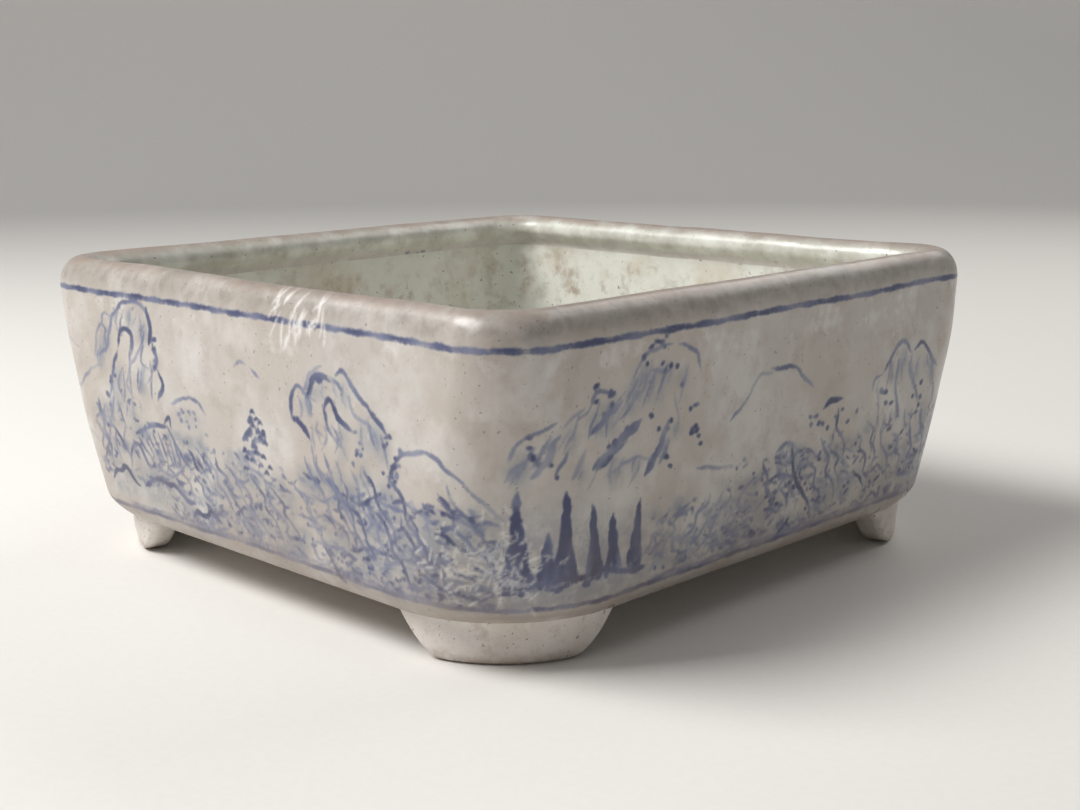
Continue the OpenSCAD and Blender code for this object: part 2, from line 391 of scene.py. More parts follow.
def dabs(place, *groups):
    """Draws groups of (count, size, load, spread, points ...): short touches of the brush tip, scattered
    beside the line of the points by a spread in mm."""
    x, z, across, up = place
    for count, size, load, spread, *along in groups:
        along = (x, z) + np.array(along, float) * (across, up)
        for at in np.sort(hand.uniform(0, len(along) - 1, count)):
            centre = [np.interp(at, range(len(along)), along[:, k]) + hand.normal(0, spread)
                      for k in (0, 1)]
            lean = hand.uniform(-0.4, 0.5)
            reach = size * hand.uniform(0.1, 0.6) * np.array([cos(lean), sin(lean)])
            stroke([centre - reach, centre, centre + reach], size * hand.uniform(0.7, 1.15),
                   load * hand.uniform(0.75, 1.15), 0.7, 0.05)


def clefts(place, *groups):
    """Draws groups of (count, fall, load, lean, points ...): thin pale lines down a rock from the line
    of the points, about fall mm each, leaning by that share of it. About half have a wash beside them."""
    x, z, across, up = place
    for count, fall, load, lean, *along in groups:
        along = np.array(along, float)
        for at in np.linspace(0, len(along) - 1, count) + hand.uniform(-0.3, 0.3, count):
            u, v = (np.interp(at, range(len(along)), along[:, k]) for k in (0, 1))
            drop = fall * hand.uniform(0.5, 1.2)
            bend = hand.normal(0, 0.9, 2)
            half_u, half_v = u + lean * drop / 2, v - drop / 2
            lines(place, (hand.uniform(0.7, 1.2), load * hand.uniform(0.6, 1.3), (u, v),
                          (half_u + bend[0], half_v), (u + lean * drop + bend[1], v - drop)))
            if hand.uniform() < 0.5:
                wash(x + across * half_u, z + up * half_v, 2.6, drop / 2, load * 2.2)


def hatch(place, width, height, count, size, load, slant=1.0):
    """Side by side slanting touches that fill an oblong, as on a shaded rock."""
    x, z, across, up = place
    for i in range(count):
        u, v = (i + hand.uniform(0.1, 0.9)) / count * width, hand.uniform(-0.5, 0.5) * height
        reach = np.array([1.3, 1.3 * slant]) * hand.uniform(0.6, 1.2)
        centre = np.array([x + across * u, z + up * v])
        stroke([centre - reach, centre + (0.2, -0.2), centre + reach], size,
               load * hand.uniform(0.6, 1.1), 0.5)


def wash(x, z, wide, high, strength):
    """A pool of thinned colour with soft edges."""
    damp_patches.append((x, z, wide, high, strength))


def tower(*place):
    """A tall blocky crag with stepped shoulders, a fall of water down its left side and moss dots."""
    lines(place, (1.2, 0.5, (-16, 13), (-14, 21), (-9, 24), (-6, 21)),
          (1.0, 0.4, (-9, 23), (-7, 28), (0, 27)),
          (1.4, 0.62, (-14, 13), (-7, 16), (-2, 27), (6, 32), (15, 34), (19, 31), (20, 24)),
          (2.0, 0.95, (20, 32), (21, 26), (19, 20)), (1.9, 0.9, (21, 20), (23, 15), (21, 11)),
          (1.5, 0.75, (23, 12), (26, 7), (22, 1)), (1.7, 0.82, (0, 17), (3, 23), (9, 22), (8, 15)),
          (1.2, 0.6, (8, 17), (6, 11), (4, 6)), (1.2, 0.55, (17, 24), (14, 17), (6, 11)),
          (1.1, 0.5, (15, 20), (14, 14), (18, 10)), (1.4, 0.7, (-1, 16), (-4, 9), (-8, 0)),
          (1.2, 0.55, (-6, 0), (-10, -9), (-15, -19), (-22, -30)))
    clefts(place, (11, 8, 0.5, -0.2, (-12, 16), (-6, 24), (4, 30), (14, 31), (18, 26)),
           (11, 10, 0.55, -0.2, (-6, 10), (6, 9), (14, 12), (21, 14)),
           (9, 8, 0.55, -0.1, (-14, -4), (-6, -2), (10, 0)))
    dabs(place, (6, 1.2, 0.6, 1.2, (-12, 20), (0, 30), (16, 32)), (5, 2.0, 0.95, 0.9, (-3, 11), (-8, 0)),
         (5, 1.8, 0.95, 0.7, (21, 30), (23, 20), (22, 12)), (4, 1.5, 0.8, 1.2, (0, 2), (7, -3)),
         (7, 1.7, 0.85, 1.6, (-9, -3), (-14, -18), (-20, -24)))


def peak(*place):
    """A knotted peak with a long slope falling away to its right."""
    lines(place, (1.5, 0.7, (-21, 12), (-20, 20), (-16, 22), (-12, 18), (-11, 13)),
          (1.8, 0.9, (-20, 11), (-16, 10), (-13, 6)), (1.1, 0.5, (-14, 20), (-11, 27), (-5, 29)),
          (1.9, 0.9, (-12, 19), (-8, 26), (-1, 26)), (1.2, 0.6, (-1, 27), (2, 24), (4, 21)),
          (1.5, 0.72, (1, 27), (5, 29), (11, 23), (23, 13)),
          (1.8, 0.85, (-5, 17), (-2, 19), (2, 14), (9, 11)), (1.3, 0.65, (-6, 17), (-3, 10), (2, 6)),
          (1.2, 0.55, (-5, 11), (-4, 8), (-6, 4)), (1.2, 0.5, (6, 22), (9, 17), (16, 13)),
          (1.3, 0.6, (-5, -3), (0, -8), (8, -18)), (1.1, 0.45, (-12, 6), (-10, -2), (-4, -8)))
    clefts(place, (8, 7, 0.42, 0.2, (-18, 18), (-12, 22), (-4, 25), (4, 25)),
           (11, 9, 0.45, 0.35, (-12, 10), (-6, 13), (4, 12), (14, 16), (20, 12)),
           (9, 8, 0.5, 0.4, (-14, 0), (-4, 2), (6, 0), (14, 3)))
    dabs(place, (4, 1.9, 1.0, 0.6, (-10, 24), (-5, 26)), (3, 1.7, 0.95, 0.6, (-20, 13), (-13, 7)),
         (7, 1.4, 0.85, 0.8, (8, 24), (23, 13), (22, 9)), (9, 1.3, 0.75, 1.3, (9, 18), (12, 6), (4, 2)))


def cliff(*place):
    """A long cliff that climbs in steps from the left to a high brow, shaded in its hollows."""
    lines(place, (1.0, 0.5, (-45, 9), (-40, 15), (-30, 20)), (2.3, 0.5, (-38, 5), (-34, 9), (-30, 14)),
          (1.2, 0.55, (-31, 5), (-26, 12)), (1.0, 0.5, (-29, 17), (-19, 22)),
          (1.9, 0.4, (-25, 3), (-19, 10)), (1.2, 0.62, (-18, 22), (-14, 26), (-7, 24)),
          (1.9, 0.55, (-18, 14), (-8, 20), (-4, 22)), (2.6, 0.55, (-16, 5), (-7, 9), (3, 15)),
          (1.5, 0.9, (-15, 4), (-8, 7), (-3, 10)), (1.0, 0.5, (0, 27), (6, 34), (17, 36)),
          (1.4, 0.5, (8, 29), (17, 28)), (1.6, 0.4, (-5, 16), (4, 24)),
          (1.1, 0.5, (19, 35), (27, 32), (30, 25)), (2.6, 0.6, (5, -1), (11, 6), (15, 13)),
          (1.4, 0.95, (6, 0), (10, 4), (13, 9)), (1.4, 0.45, (11, 0), (15, 7)),
          (1.0, 0.35, (18, 20), (20, 13), (18, 7)), (1.0, 0.35, (-12, 2), (0, 4), (9, 3)))
    clefts(place, (8, 8, 0.4, -0.7, (-42, 8), (-34, 16), (-22, 18)),
           (9, 10, 0.42, -0.8, (-18, 21), (-8, 22), (0, 25), (8, 30)),
           (8, 10, 0.38, -0.4, (4, 30), (14, 30), (24, 28)),
           (9, 7, 0.4, -0.6, (-20, 6), (-6, 6), (8, 4), (20, 12)))
    for count, *along in ((7, (-42, 14), (-30, 6), (-22, 4)), (7, (-18, 26), (-8, 24), (-8, 17)),
                          (8, (-14, 3), (-4, 11), (4, 17)), (8, (0, 28), (7, 36), (18, 38)),
                          (4, (11, 28), (21, 27)), (9, (26, 25), (27, 16), (27, 9), (29, 3)),
                          (6, (4, 18), (16, 11), (15, -2))):
        dabs(place, (count, 1.6, 1.1, 1.5, *along))


def twin_peak(*place):
    """Two rounded heads side by side, with long straight clefts down their fronts."""
    lines(place, (1.1, 0.5, (-23, 16), (-22, 20), (-17, 22)),
          (1.5, 0.7, (-16, 22), (-11, 30), (-4, 31), (0, 26)),
          (1.5, 0.7, (1, 28), (7, 29), (13, 23), (18, 20)), (1.2, 0.55, (-14, 27), (-13, 20), (-15, 16)),
          (1.7, 0.55, (-9, 25), (-8, 14), (-5, 4)), (1.7, 0.55, (-2, 23), (2, 16), (7, 8)),
          (1.4, 0.45, (13, 23), (16, 14), (18, 7)), (1.1, 0.4, (-20, 18), (-18, 10), (-19, 2)))
    clefts(place, (14, 9, 0.4, 0.15, (-20, 19), (-14, 24), (-4, 29), (2, 24), (10, 25), (16, 18)),
           (10, 8, 0.42, 0.1, (-20, 6), (-8, 8), (6, 6), (18, 8)))
    dabs(place, (7, 1.8, 0.85, 1.2, (-21, 18), (-12, 13), (-8, 6), (-13, -2)),
         (5, 1.8, 0.85, 1.2, (4, 12), (7, 17), (10, 7)))


def fir(x, z, high, wide, lean=0.0):
    """A fir in the mist: a loaded brush drawn down from a fine tip and spread out to both sides."""
    tip = np.array([x + lean, z + high])
    # each stroke's share of the width to one side, and of the height that it starts at
    for aside, start in ((-0.44, 0.35), (0.44, 0.3), (-0.3, 0.6), (0.3, 0.55), (-0.14, 0.85), (0.14, 0.8),
                         (0, 1)):
        top = np.array([x, z]) + (tip - (x, z)) * start + (aside * wide * 0.3, 0)
        foot = np.array([x + aside * wide, z + hand.uniform(-1, 2)])
        stroke([top, (top + foot) / 2 + (aside * 0.6, 0), foot], min(2.4, wide * 0.4),
               hand.uniform(0.55, 1.0) + 0.2 * start, 0.2)
    dabs((x, z, 1, 1), (5, 1.7, 0.75, 1.0, (-wide / 2, 0), (wide / 2, 0)))
    wash(x, z + high * 0.3, wide * 0.9, high * 0.45, 1.4)


def leafy(x, z, wide, high, count, load=0.85):
    """A leafy tree: short level touches, spread over more of its width the lower they are."""
    for i in range(count):
        down = hand.uniform(0, 1) ** 0.7
        aside = hand.uniform(-0.5, 0.5) * wide * (0.25 + 0.75 * down)
        centre = np.array([x + aside, z + high * (1 - down)])
        stroke([centre - (1.1, 0.3), centre + (0, 0.3), centre + (1.1, -0.2)], hand.uniform(1.0, 1.9),
               load * hand.uniform(0.6, 1.15), 0.6)


def gnarled(*place):
    """An old tree with a bent trunk, forked boughs and flat heads of leaves."""
    lines(place, (1.6, 0.92, (-2, 24), (-1, 17), (2, 10), (7, 5), (11, 0)),
          (1.3, 0.8, (-11, 23), (-6, 25), (-2, 24)), (1.2, 0.75, (-18, 14), (-8, 15), (1, 13)),
          (1.9, 0.95, (13, 34), (18, 36), (24, 35)), (1.3, 0.7, (21, 33), (23, 26), (28, 20), (28, 15)),
          (1.0, 0.5, (40, 25), (46, 21), (45, 13)))
    dabs(place, (12, 1.9, 0.85, 1.9, (-17, 12), (-8, 14), (-12, 20)),
         (9, 1.5, 0.75, 1.8, (5, 18), (12, 14), (20, 16)),
         (13, 1.5, 0.75, 1.7, (5, 31), (16, 30), (36, 31)),
         (9, 1.8, 0.85, 1.6, (-14, 5), (-8, 8), (4, 8)))


def pavilion(*place):
    """A thatched hut on the bank: ridge, eaves and slope, the straw in stripes, and a dim doorway."""
    lines(place, (1.5, 0.8, (-13, 14), (-2, 17), (8, 19)), (1.4, 0.75, (8, 19), (13, 13), (17, 8)),
          (1.3, 0.7, (-12, 13), (-7, 9), (-2, 4)), (1.2, 0.5, (-2, 4), (8, 2), (17, 7)),
          (1.4, 0.65, (-20, 2), (-16, 9), (-11, 9), (-6, 2)), (1.5, 0.8, (6, 20), (9, 22), (11, 19)))
    for straw in range(7):
        top, foot = (-8 + 3.2 * straw, 13.5 + straw * 0.6), (-3 + 3.0 * straw, 6.5 - straw * 0.2)
        lines(place, (1.1, 0.6, top, foot))
    wash(place[0] - 13, place[1] + 2, 5, 5, 0.6)


def undergrowth(x0, x1, z0, z1, count, load=0.6):
    """Scrub and wet stones: short hooks, dots and now and then a longer ripple, thickest low down."""
    for i in range(count):
        centre = np.array([hand.uniform(x0, x1), z0 + (z1 - z0) * hand.uniform(0, 1) ** 1.4])
        reach = hand.choice([0.4, 1.2, 3.0], p=[0.4, 0.48, 0.12]) * hand.uniform(0.7, 1.3)
        lean = hand.normal(-0.05, 0.4)
        bend = hand.uniform(-0.35, 0.35) * reach
        stroke([centre - (reach, lean * reach), centre + (0, bend), centre + (reach, lean * reach)],
               hand.uniform(0.8, 1.5), load * hand.uniform(0.35, 1.4), 0.5)
        if i % 4 == 0:
            wash(*(centre + hand.normal(0, 1, 2)), hand.uniform(2, 7), hand.uniform(1.5, 3), 1.8 * load)


def contours(x0, x1, z0, z1, count, load, lean=0.8):
    """Wavering lines that run down through the scrub and mark one rock off from the next."""
    for start in np.linspace(x0, x1, count) + hand.normal(0, 2, count):
        top = hand.uniform(0.6 * z1 + 0.4 * z0, z1)
        z = np.linspace(top, hand.uniform(z0, 0.7 * z0 + 0.3 * z1), 7)
        x = start + lean * (top - z) + 1.3 * np.sin(np.arange(7) * 2.1 + start) + hand.normal(0, 0.6, 7)
        stroke(np.stack([x, z], -1), hand.uniform(0.9, 1.4), load * hand.uniform(0.7, 1.2))


def bank(x0, x1, z, rise, load=0.8):
    """The near bank: a heavy humped line with a dark wash under it."""
    x = np.linspace(x0, x1, 7)
    hump = rise * np.sin(np.linspace(0.2, pi, 7)) + hand.normal(0, 0.7, 7)
    stroke(np.stack([x, z + hump], -1), 1.8, load)
    for k in (1, 3, 5):
        wash(x[k], z - 2, (x1 - x0) / 6, 3.2, 1.4)


def far_hills(*place):
    """Faint distant hills, one behind another."""
    lines(place, (1.1, 0.4, (-30, 0), (-20, -1), (-10, -3)),
          (1.1, 0.42, (-15, 12), (-7, 17), (-1, 24), (6, 25)),
          (1.3, 0.65, (5, 25), (17, 25), (22, 20), (29, 17)))


def mist_trees(x, z, load=0.55):
    """The tops of trees standing out of the mist."""
    lines((x, z, 1, 1), (1.3, load, (-9, 5), (-3, 8), (3, 9)), (1.2, load, (2, 9), (7, 8), (11, 4)))
    dabs((x, z, 1, 1), (12, 1.3, load * 1.2, 1.8, (-7, 1), (0, 3), (8, 0)))
    wash(x, z + 1, 9, 4, 0.45)


def birds(x, z):
    """Two birds far off, or wisps of cloud: a bent line and a short one."""
    lines((x, z, 1, 1), (1.1, 0.5, (0, 0), (3, 2), (7, 1)), (1.1, 0.5, (9, 0), (14, -2.5)))


# The lines all round, one under the rim and two above the heel. The brush is loaded again at each
# wall, and the upper of the two at the heel is the fainter and breaks off between.
line_start, line_stop, upper_line_z, heel_line_z, faint_line_z = -120, 798, 95.2, 20.2, 21.7
once_round = np.linspace(line_start, line_stop, 62)
shift = np.sin(once_round / (line_stop - line_start) * 2 * pi * 3 + 1)
for start, stop in ((0, 17), (16, 33), (32, 48), (47, 62)):
    x, rise = once_round[start:stop], shift[start:stop]
    stroke(np.stack([x, upper_line_z + 0.5 * rise + hand.normal(0, 0.15, len(x))], -1), 1.7, 0.8, 0.6, 0.1)
    stroke(np.stack([x, heel_line_z + 0.5 * rise + hand.normal(0, 0.15, len(x))], -1), 1.5, 0.62, 0.6, 0.12)
    x, rise = x[3:-2], rise[3:-2]
    stroke(np.stack([x, faint_line_z + 0.4 * rise + hand.normal(0, 0.2, len(x))], -1), 0.9, 0.4, 0.3, 0.2)

# The front wall: far hills and a crag, the hut at its foot, trees, and a peak with its long slope.
# Hills and ledges that belong to no motif are drawn on their own.
lines((-100, 60, 1, 1), (1.0, 0.45, (0, 0), (8, 6), (14, 9), (20, 10)),
      (1.0, 0.35, (-14, -2), (-4, -1), (6, 2)), (0.9, 0.3, (-10, 14), (-3, 16), (6, 14)),
      (0.9, 0.35, (-12, -18), (0, -16), (10, -18)))
tower(-68, 60, 1, 1)
pavilion(-50, 34, 1, 1)
hatch((-33, 44, 1, 1), 16, 5, 20, 1.4, 0.95, -0.7)
mist_trees(-29, 56)
leafy(9, 46, 17, 21, 42, 0.95)
peak(50, 55, 1, 1)
lines((90, 50, 1, 1), (1.4, 0.65, (-17, 5), (-12, 12), (-4, 15), (3, 14), (8, 10)),
      (1.0, 0.45, (3, 14), (12, 9), (24, -3)), (1.0, 0.5, (-10, 0), (-2, -5), (2, -9)),
      (1.0, 0.5, (4, 2), (12, -2), (18, -7)))
dabs((90, 50, 1, 1), (9, 1.6, 0.85, 1.2, (-12, 13), (-14, 5), (-18, 6), (-12, -1)))
birds(0, 79)
bank(-84, -66, 29, 4, 0.95)
bank(-62, -30, 28.5, 5, 0.9)
bank(-32, -15, 24.5, 2, 1.0)
contours(-92, -72, 31, 60, 5, 0.6, 0.1)
contours(-36, 32, 23, 50, 11, 0.55)
contours(34, 96, 23, 58, 12, 0.65)
undergrowth(-90, -45, 31, 54, 95, 0.65)
undergrowth(-45, 48, 22, 50, 330, 0.62)
undergrowth(48, 112, 21, 50, 400, 0.8)

# The right wall: firs in the mist, the long cliff, far hills, an old tree and a twin peak
for x, high, wide, lean in ((118, 29, 10, 0), (126, 16, 6, 1), (132, 28, 9, 1), (143, 22, 7, 0),
                            (151, 18, 7, 0), (160, 20, 6, 3)):
    fir(x, 27, high, wide, lean)
wash(102, 40, 10, 4, 1.8)
wash(120, 28, 14, 4, 1.6)
cliff(160, 55, 1, 1)
far_hills(219, 51, 1, 1)
gnarled(240, 26, 1, 1)
twin_peak(305, 45, 1, 1)
bank(112, 165, 26, 2, 0.85)
contours(172, 214, 24, 44, 7, 0.4, -0.9)
contours(222, 325, 24, 52, 13, 0.55, 0.4)
undergrowth(168, 218, 23, 42, 150, 0.5)
undergrowth(205, 335, 23, 50, 380, 0.66)

# The back and left walls carry the same things in another order
peak(400, 57, -1.1, 1)
tower(478, 58, -1, 0.95)
mist_trees(440, 54)
leafy(540, 44, 18, 24, 36)
far_hills(520, 52, -1, 1)
gnarled(585, 26, -1, 1)
cliff(640, 54, -0.9, 1)
twin_peak(705, 46, 1.1, 1)
pavilion(745, 32, -1, 1)
birds(560, 80)
for x, high, wide, lean in ((355, 24, 5, 1), (366, 16, 4, 0), (618, 22, 5, -1), (626, 27, 6, 0),
                            (772, 18, 4, 1)):
    fir(x, 27, high, wide, lean)
bank(380, 430, 27, 4, 0.9)
bank(660, 700, 27, 4, 0.9)
undergrowth(340, 570, 22, 44, 520, 0.6)
undergrowth(570, 798, 22, 44, 520, 0.6)


def scuff(x, z, lean, reach, off, width, shake):
    """A scratch at x and z: it reaches so many mm both ways at the angle lean, bowed aside by off."""
    middle, end = np.array([x, z]), reach * np.array([cos(lean), sin(lean)])
    stroke([middle - end, middle + (off, 0), middle + end], width, 1, 0.3, shake, scuff_marks)


# Scuffs where the pot has stood against others, mostly low on its corners, and one place on the
# front of the rim where a tool has scratched it
scuffed_z = 34
for centre, spread, count in ((110, (9, 6), 150), (342, (7, 6), 70), (570, (8, 6), 110),
                              (-114, (7, 6), 70)):
    for x, z in hand.normal((centre, scuffed_z), spread, (count, 2)):
        scuff(x, z, hand.normal(0.4, 0.9), hand.uniform(0.5, 2.0), 0, hand.uniform(0.1, 0.35), 0.1)
for x in hand.uniform(18, 46, 26):
    scuff(x, hand.uniform(90, 104), hand.uniform(0.7, 1.8), hand.uniform(1.5, 5),
          hand.normal(0, 0.5), hand.uniform(0.3, 1.2), 0.3)

# The canvas: its grain and height in mm, and how many grains it is round and high
grain, canvas_high = 0.4, 112
canvas_x, canvas_z = int(round(4 * drawn_wall / grain)), int(round(canvas_high / grain))


def flat_drawing(marks, soft):
    """Coverage and load of a list of marks on the canvas. Each sample stamps a disc with an edge that
    many mm soft: coverage is the most that any disc gives, and load is the mean of the samples,
    weighted by coverage."""
    x, z, half, load = np.concatenate(marks).T
    column, row = np.round(x / grain).astype(int), np.round(z / grain).astype(int)
    step = np.arange(-5, 6)
    aside, above = (near.ravel() for near in np.meshgrid(step, step))
    near_x, near_z = column[:, None] + aside, row[:, None] + above
    far = np.hypot(near_x * grain - x[:, None], near_z * grain - z[:, None])
    share = np.clip(0.5 + (half[:, None] - far) / soft, 0, 1)
    cell = (near_z % canvas_z * canvas_x + near_x % canvas_x).ravel()
    cover = np.zeros(canvas_x * canvas_z)
    np.maximum.at(cover, cell, share.ravel())
    total, loads = (np.bincount(cell, weight.ravel(), len(cover))
                    for weight in (share, share * load[:, None]))
    return [flat.reshape(canvas_z, -1) for flat in (cover, loads / np.maximum(total, 1e-6))]


def damp_drawing():
    """Thinned colour: bell-shaped pools added up, and levelled off as 1 - exp(-sum)."""
    at_x, at_z, wide, high, strength = np.array(damp_patches).T[..., None]
    aside = (np.arange(canvas_x) * grain - at_x + 2 * drawn_wall) % (4 * drawn_wall) - 2 * drawn_wall
    above = np.arange(canvas_z) * grain - at_z
    return 1 - np.exp(-(strength * np.exp(-(above / high) ** 2)).T @ np.exp(-(aside / wide) ** 2))


# Ink bleeds into the raw glaze over 1.5 mm, while a scuff's edge is sharper
drawing = np.stack([*flat_drawing(ink_marks, 1.5), damp_drawing(), flat_drawing(scuff_marks, 0.8)[0]], -1)


def laid_on(way, z):
    """What the drawing says at places on the pot, read between its grains in straight lines."""
    column, row = np.broadcast_arrays(way * drawn_wall / grain, np.clip(z / grain, 0, canvas_z - 2))
    c, r = np.floor(column).astype(int), np.floor(row).astype(int)
    u, v = (column - c)[..., None], (row - r)[..., None]
    at = [drawing[r + i, (c + j) % canvas_x] for i, j in ((0, 0), (0, 1), (1, 0), (1, 1))]
    return (at[0] * (1 - u) + at[1] * u) * (1 - v) + (at[2] * (1 - u) + at[3] * u) * v


# ---- The walls ----
# Four slabs of the same clay, pressed in a mould and joined on the diagonals with slip. The
# joints are smoothed over by hand, so that only a slight swelling and sinking of the sides shows.

def by_hand(points, outward):
    """The body as the hands left it: its sides swell and sink by about half a millimetre and its rim
    rides up and down by about 0.3 mm. Both die away to nothing 4 mm above the floor, where the slabs
    were cut true, as a smoothstep of 30 mm, and the ride also in proportion to the height."""
    free = np.clip((points[..., 2] - floor_top - 4) / 30, 0, 1)
    free = free * free * (3 - 2 * free)
    swell = 0.55 * waves(points, 130, 3) + 0.16 * waves(points, 34, 4)
    rise = 0.3 * waves(points * (1, 1, 0), 170, 5) + 0.15 * waves(points * (1, 1, 0), 45, 6)
    height = (points[..., 2] - floor_top) / (pot_top - floor_top)
    sideways = outward * (free * swell)[..., None]
    return points + np.concatenate([sideways, (free * rise * height)[..., None]], -1)


def carried(section, way):
    """A section of (half width, corner radius, height) carried round the pot: a grid of points
    with a row for each place of the section and a column for each step of the way."""
    half, corner, z = (section[:, i, None] for i in range(3))
    flat, outward = round_square(half, corner, way[None])
    upright = np.broadcast_to(z, flat.shape[:2])[..., None]
    return by_hand(np.concatenate([flat, upright], -1), outward)


def section_of(z, inwards=0.0, heeled=True):
    """Places of a section on the body at heights z: (half width, corner radius, height)."""
    half, corner = wall_outline(z, inwards, heeled)
    return np.stack(np.broadcast_arrays(half, corner, z), -1)


def unrolled(section, steps, strips=1):
    """A flat map of a section carried along in so many steps, with a place for each corner of each
    quad. The way along is cut into strips of equal length, laid one above another."""
    closed = np.concatenate([section, section[:1]])
    gone = np.append(0, np.cumsum(np.linalg.norm(np.diff(closed[:, (0, 2)], axis=0), axis=1)))
    row, step = np.meshgrid(np.arange(len(section)), np.arange(steps), indexing="ij")
    in_strip = steps // strips
    margin = 0.01
    along = ((step % in_strip)[..., None] + (0, 1, 1, 0)) / in_strip
    up = gone[row[..., None] + (0, 0, 1, 1)] / gone[-1]
    u = margin / 2 + (1 - margin) * along
    v = ((step // in_strip)[..., None] + margin + (1 - 3 * margin) * up) / strips
    return np.stack([u, v], -1).reshape(-1, 2)


# The section of a wall, all the way round: up its outside, over its top under the rim, down inside
# and round the cove, down the joint with the floor and back beneath
joint_lap = 5
cove_turn = np.linspace(0, pi / 2, 12)
outside = section_of(np.append(under_floor + heel_high * np.linspace(0, 1, 14)[:-1] ** 1.5,
                               np.linspace(under_floor + heel_high, wall_top, 138)))
over_top = section_of(np.full(3, wall_top), wall_thick * np.array([0.25, 0.5, 0.75]))
within = section_of(np.linspace(wall_top, cove_z, 46), wall_thick, heeled=False)
in_cove = section_of(np.full(len(cove_turn), cove_z), wall_thick + cove * (1 - np.cos(cove_turn)),
                     heeled=False)
in_cove[:, 2] -= cove * np.sin(cove_turn)
down_joint = np.array([(floor_half, floor_corner, z) for z in (floor_top - joint_lap, under_floor)])
share = np.linspace(0, 1, 8)[1:-1, None]
beneath = down_joint[-1] * (1 - share) + outside[0] * share
wall_section = np.concatenate([outside, over_top, within, in_cove[1:], down_joint, beneath])
first_within = len(outside) + len(over_top)
rows, columns = len(wall_section), 400

for number, side in enumerate(("front", "right", "back", "left")):
    way = np.linspace(number - 0.5, number + 0.5, columns)
    points = carried(wall_section, way)
    faces = cells(rows, columns, loop_rows=True)
    under = np.zeros((rows, columns - 1), bool)
    under[-len(beneath) - 1:] = True
    ends = [tuple(range(0, rows * columns, columns))[::-1],
            tuple(range(columns - 1, rows * columns, columns))]
    uv = unrolled(wall_section, columns - 1)
    wall = make_piece("pot_wall_" + side, "wall_" + side, points, faces,
                      (glaze, bare_clay), under.ravel(), uv, ends)
    in_sight = np.repeat(np.arange(rows) < first_within, columns)
    write_values(wall, "inside", 1.0 - in_sight)
    brushed = laid_on(way[None], wall_section[:, 2, None]).reshape(-1, 4)
    write_values(wall, "brushwork", brushed * in_sight[:, None])


# ---- The rim ----
# A coil of clay laid on the walls and rolled over with wet fingers, so that it stands a little
# proud outside and hangs over the soil inside. It is joined to the walls with slip.

crest_in, lip_in, lip_drop = 6.5, 13.0, 6.0
crest_half, lip_half, lip_z = pot_half - crest_in, pot_half - lip_in, pot_top - lip_drop


def rim_places(half, z):
    """Places of a section on the coil, whose corner radius shrinks with its step in from outside."""
    return np.stack([half, belly_corner - corner_follow * (pot_half - half), z], -1)


# The section of the coil, all the way round: up its outside, two quarter ellipses over the crest
# and down to the lip, an S-curve in under the lip, and back over the top of the wall
turn = np.linspace(0, pi / 2, 18)
fall = np.linspace(0, 1, 13)[1:-1]
wall_inner = section_of(np.array([wall_top]), wall_thick, heeled=False)
rim_section = np.concatenate([
    section_of(np.linspace(wall_top, belly_z, 6)[:-1]),
    rim_places(crest_half + crest_in * np.cos(turn), belly_z + (pot_top - belly_z) * np.sin(turn)),
    rim_places(crest_half - (crest_half - lip_half) * np.sin(turn[1:]),
               lip_z + lip_drop * np.cos(turn[1:])),
    rim_places(lip_half + (wall_inner[0, 0] - lip_half) * fall ** 2 * (3 - 2 * fall),
               lip_z + (wall_top - lip_z) * fall),
    wall_inner,
    section_of(np.full(3, wall_top), wall_thick * np.array([0.75, 0.5, 0.25])),
])
rim_columns = 1520
rim_way = np.linspace(-0.5, 3.5, rim_columns, endpoint=False)
rim_points = carried(rim_section, rim_way)
rim_faces = cells(len(rim_section), rim_columns, loop_rows=True, loop_columns=True)
rim = make_piece("pot_rim", "rim_coil", rim_points, rim_faces, (glaze,),
                 uv=unrolled(rim_section, rim_columns, 4))
# The inside glaze was poured out over the crest, and thins out over 3 mm of it
past_crest = np.clip((crest_half - 2 - rim_section[:, 0]) / 3, 0, 1)
write_values(rim, "inside", np.repeat(past_crest, rim_columns))
brushed = laid_on(rim_way[None], rim_section[:, 2, None]).reshape(-1, 4)
write_values(rim, "brushwork", brushed * (1 - np.repeat(past_crest, rim_columns))[:, None])


# ---- The feet ----
# Four strips of clay bent round the corners and luted under the floor, their ends pared away in
# a sweep with a bamboo knife. They are left whiter than the body and wiped almost clean.

# how far in the strip is set and leans, how thick it is and how much thicker at its root, and its
# length each way from the diagonal on the table and under the floor
foot_set, foot_lean, foot_thick, foot_root = 1.0, 1.5, 9.0, 2.0
foot_table_l, foot_floor_l = 19.0, 37.0
foot_half = wall_outline(under_floor)[0] - foot_set


def foot_places(length, inwards, z):
    """Points of the foot under the front right corner: length runs round its curve from the diagonal
    and then straight on along the walls, and inwards is the step in from its outermost face."""
    eighth = base_corner * pi / 4
    turn = np.sign(length) * np.minimum(np.abs(length), eighth) / base_corner - pi / 4
    straight = np.sign(length) * np.maximum(np.abs(length) - eighth, 0)
    centre = foot_half - base_corner
    x = centre + (base_corner - inwards) * np.cos(turn) - straight * np.sin(turn)
    y = -centre + (base_corner - inwards) * np.sin(turn) + straight * np.cos(turn)
    return np.stack([x, y, z], -1)


